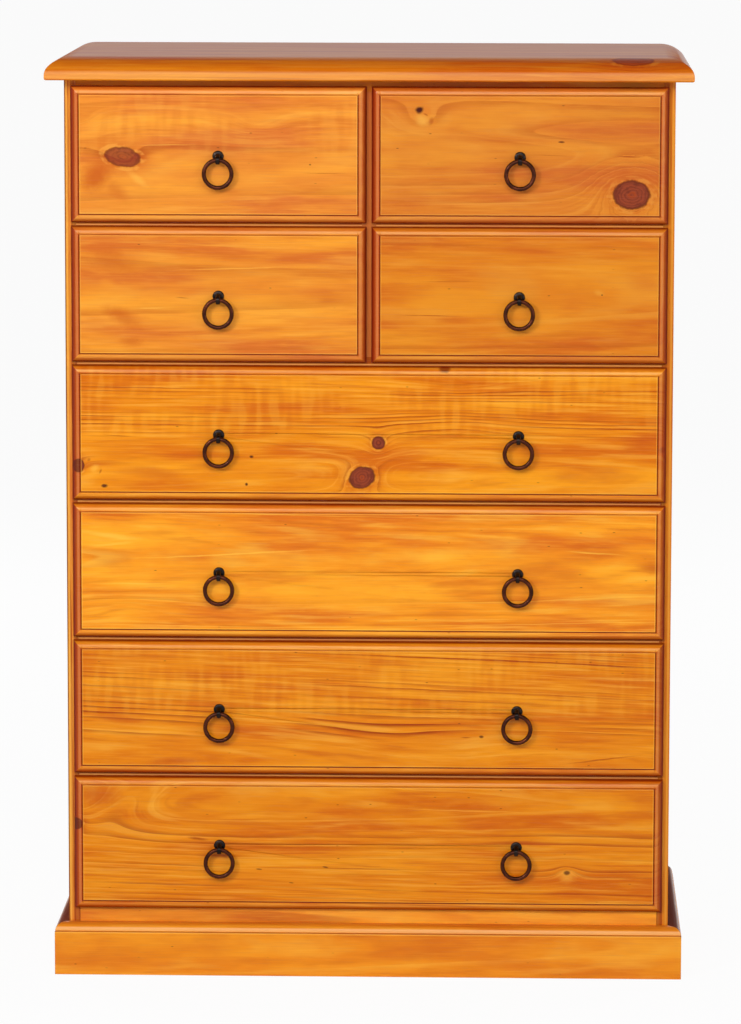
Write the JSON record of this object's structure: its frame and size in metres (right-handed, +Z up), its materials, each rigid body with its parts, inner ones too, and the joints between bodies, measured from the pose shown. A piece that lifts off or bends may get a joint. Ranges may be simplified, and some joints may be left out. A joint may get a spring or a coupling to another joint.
{
  "type": "tall chest of drawers",
  "caption": "Tall pine chest with half-width drawers over full-width drawers, a moulded overhanging top, a moulded plinth and swinging ring pulls.",
  "frame": {"origin": "centre of the footprint box on the floor", "axes": "+Z up, -Y out of the front with the drawers, +X to the right when facing the front"},
  "size_m": [0.9, 0.45, 1.3],
  "materials": {
    "stained_pine": "satin lacquer",
    "pale_pine": "bare",
    "plywood": "bare",
    "dark_bronze": "satin"
  },
  "bodies": {
    "carcass": {"top_board": "stained_pine", "top_rail": "stained_pine", "drawer_rails": "stained_pine", "bottom_rail": "stained_pine", "rear_rails": "pale_pine", "left_side_panel": "stained_pine", "right_side_panel": "stained_pine", "back_panel": "plywood", "centre_divider": "stained_pine", "left_runners": "pale_pine", "right_runners": "pale_pine", "divider_runners": "pale_pine", "plinth_front": "stained_pine", "left_plinth": "stained_pine", "right_plinth": "stained_pine", "plinth_glue_blocks": "pale_pine"},
    "top_left_drawer": {"top_left_drawer_front": "stained_pine", "top_left_drawer_box": "pale_pine", "top_left_drawer_bottom": "plywood", "top_left_pull_posts": "dark_bronze"},
    "top_right_drawer": {"top_right_drawer_front": "stained_pine", "top_right_drawer_box": "pale_pine", "top_right_drawer_bottom": "plywood", "top_right_pull_posts": "dark_bronze"},
    "top_left_ring": {"top_left_ring": "dark_bronze"},
    "top_right_ring": {"top_right_ring": "dark_bronze"},
    "second_left_drawer": {"second_left_drawer_front": "stained_pine", "second_left_drawer_box": "pale_pine", "second_left_drawer_bottom": "plywood", "second_left_pull_posts": "dark_bronze"},
    "second_right_drawer": {"second_right_drawer_front": "stained_pine", "second_right_drawer_box": "pale_pine", "second_right_drawer_bottom": "plywood", "second_right_pull_posts": "dark_bronze"},
    "second_left_ring": {"second_left_ring": "dark_bronze"},
    "second_right_ring": {"second_right_ring": "dark_bronze"},
    "third_drawer": {"third_drawer_front": "stained_pine", "third_drawer_box": "pale_pine", "third_drawer_bottom": "plywood", "third_pull_posts": "dark_bronze"},
    "third_left_ring": {"third_left_ring": "dark_bronze"},
    "third_right_ring": {"third_right_ring": "dark_bronze"},
    "fourth_drawer": {"fourth_drawer_front": "stained_pine", "fourth_drawer_box": "pale_pine", "fourth_drawer_bottom": "plywood", "fourth_pull_posts": "dark_bronze"},
    "fourth_left_ring": {"fourth_left_ring": "dark_bronze"},
    "fourth_right_ring": {"fourth_right_ring": "dark_bronze"},
    "fifth_drawer": {"fifth_drawer_front": "stained_pine", "fifth_drawer_box": "pale_pine", "fifth_drawer_bottom": "plywood", "fifth_pull_posts": "dark_bronze"},
    "fifth_left_ring": {"fifth_left_ring": "dark_bronze"},
    "fifth_right_ring": {"fifth_right_ring": "dark_bronze"},
    "bottom_drawer": {"bottom_drawer_front": "stained_pine", "bottom_drawer_box": "pale_pine", "bottom_drawer_bottom": "plywood", "bottom_pull_posts": "dark_bronze"},
    "bottom_left_ring": {"bottom_left_ring": "dark_bronze"},
    "bottom_right_ring": {"bottom_right_ring": "dark_bronze"}
  },
  "joints": [
    {"name": "top_left_drawer_slide", "type": "slide", "parent": "carcass", "child": "top_left_drawer", "axis": [0, -1, 0], "range_m": [0, 0.3]},
    {"name": "top_right_drawer_slide", "type": "slide", "parent": "carcass", "child": "top_right_drawer", "axis": [0, -1, 0], "range_m": [0, 0.3]},
    {"name": "top_left_ring_swing", "type": "hinge", "parent": "top_left_drawer", "child": "top_left_ring", "pos_m": [-0.20975, -0.215, 1.15775], "axis": [-1, 0, 0], "range_deg": [-10, 190]},
    {"name": "top_right_ring_swing", "type": "hinge", "parent": "top_right_drawer", "child": "top_right_ring", "pos_m": [0.20975, -0.215, 1.15775], "axis": [-1, 0, 0], "range_deg": [-10, 190]},
    {"name": "second_left_drawer_slide", "type": "slide", "parent": "carcass", "child": "second_left_drawer", "axis": [0, -1, 0], "range_m": [0, 0.3]},
    {"name": "second_right_drawer_slide", "type": "slide", "parent": "carcass", "child": "second_right_drawer", "axis": [0, -1, 0], "range_m": [0, 0.3]},
    {"name": "second_left_ring_swing", "type": "hinge", "parent": "second_left_drawer", "child": "second_left_ring", "pos_m": [-0.20975, -0.215, 0.96275], "axis": [-1, 0, 0], "range_deg": [-10, 190]},
    {"name": "second_right_ring_swing", "type": "hinge", "parent": "second_right_drawer", "child": "second_right_ring", "pos_m": [0.20975, -0.215, 0.96275], "axis": [-1, 0, 0], "range_deg": [-10, 190]},
    {"name": "third_drawer_slide", "type": "slide", "parent": "carcass", "child": "third_drawer", "axis": [0, -1, 0], "range_m": [0, 0.3]},
    {"name": "third_left_ring_swing", "type": "hinge", "parent": "third_drawer", "child": "third_left_ring", "pos_m": [-0.20975, -0.215, 0.76775], "axis": [-1, 0, 0], "range_deg": [-10, 190]},
    {"name": "third_right_ring_swing", "type": "hinge", "parent": "third_drawer", "child": "third_right_ring", "pos_m": [0.20975, -0.215, 0.76775], "axis": [-1, 0, 0], "range_deg": [-10, 190]},
    {"name": "fourth_drawer_slide", "type": "slide", "parent": "carcass", "child": "fourth_drawer", "axis": [0, -1, 0], "range_m": [0, 0.3]},
    {"name": "fourth_left_ring_swing", "type": "hinge", "parent": "fourth_drawer", "child": "fourth_left_ring", "pos_m": [-0.20975, -0.215, 0.57275], "axis": [-1, 0, 0], "range_deg": [-10, 190]},
    {"name": "fourth_right_ring_swing", "type": "hinge", "parent": "fourth_drawer", "child": "fourth_right_ring", "pos_m": [0.20975, -0.215, 0.57275], "axis": [-1, 0, 0], "range_deg": [-10, 190]},
    {"name": "fifth_drawer_slide", "type": "slide", "parent": "carcass", "child": "fifth_drawer", "axis": [0, -1, 0], "range_m": [0, 0.3]},
    {"name": "fifth_left_ring_swing", "type": "hinge", "parent": "fifth_drawer", "child": "fifth_left_ring", "pos_m": [-0.20975, -0.215, 0.37775], "axis": [-1, 0, 0], "range_deg": [-10, 190]},
    {"name": "fifth_right_ring_swing", "type": "hinge", "parent": "fifth_drawer", "child": "fifth_right_ring", "pos_m": [0.20975, -0.215, 0.37775], "axis": [-1, 0, 0], "range_deg": [-10, 190]},
    {"name": "bottom_drawer_slide", "type": "slide", "parent": "carcass", "child": "bottom_drawer", "axis": [0, -1, 0], "range_m": [0, 0.3]},
    {"name": "bottom_left_ring_swing", "type": "hinge", "parent": "bottom_drawer", "child": "bottom_left_ring", "pos_m": [-0.20975, -0.215, 0.18275], "axis": [-1, 0, 0], "range_deg": [-10, 190]},
    {"name": "bottom_right_ring_swing", "type": "hinge", "parent": "bottom_drawer", "child": "bottom_right_ring", "pos_m": [0.20975, -0.215, 0.18275], "axis": [-1, 0, 0], "range_deg": [-10, 190]}
  ]
}
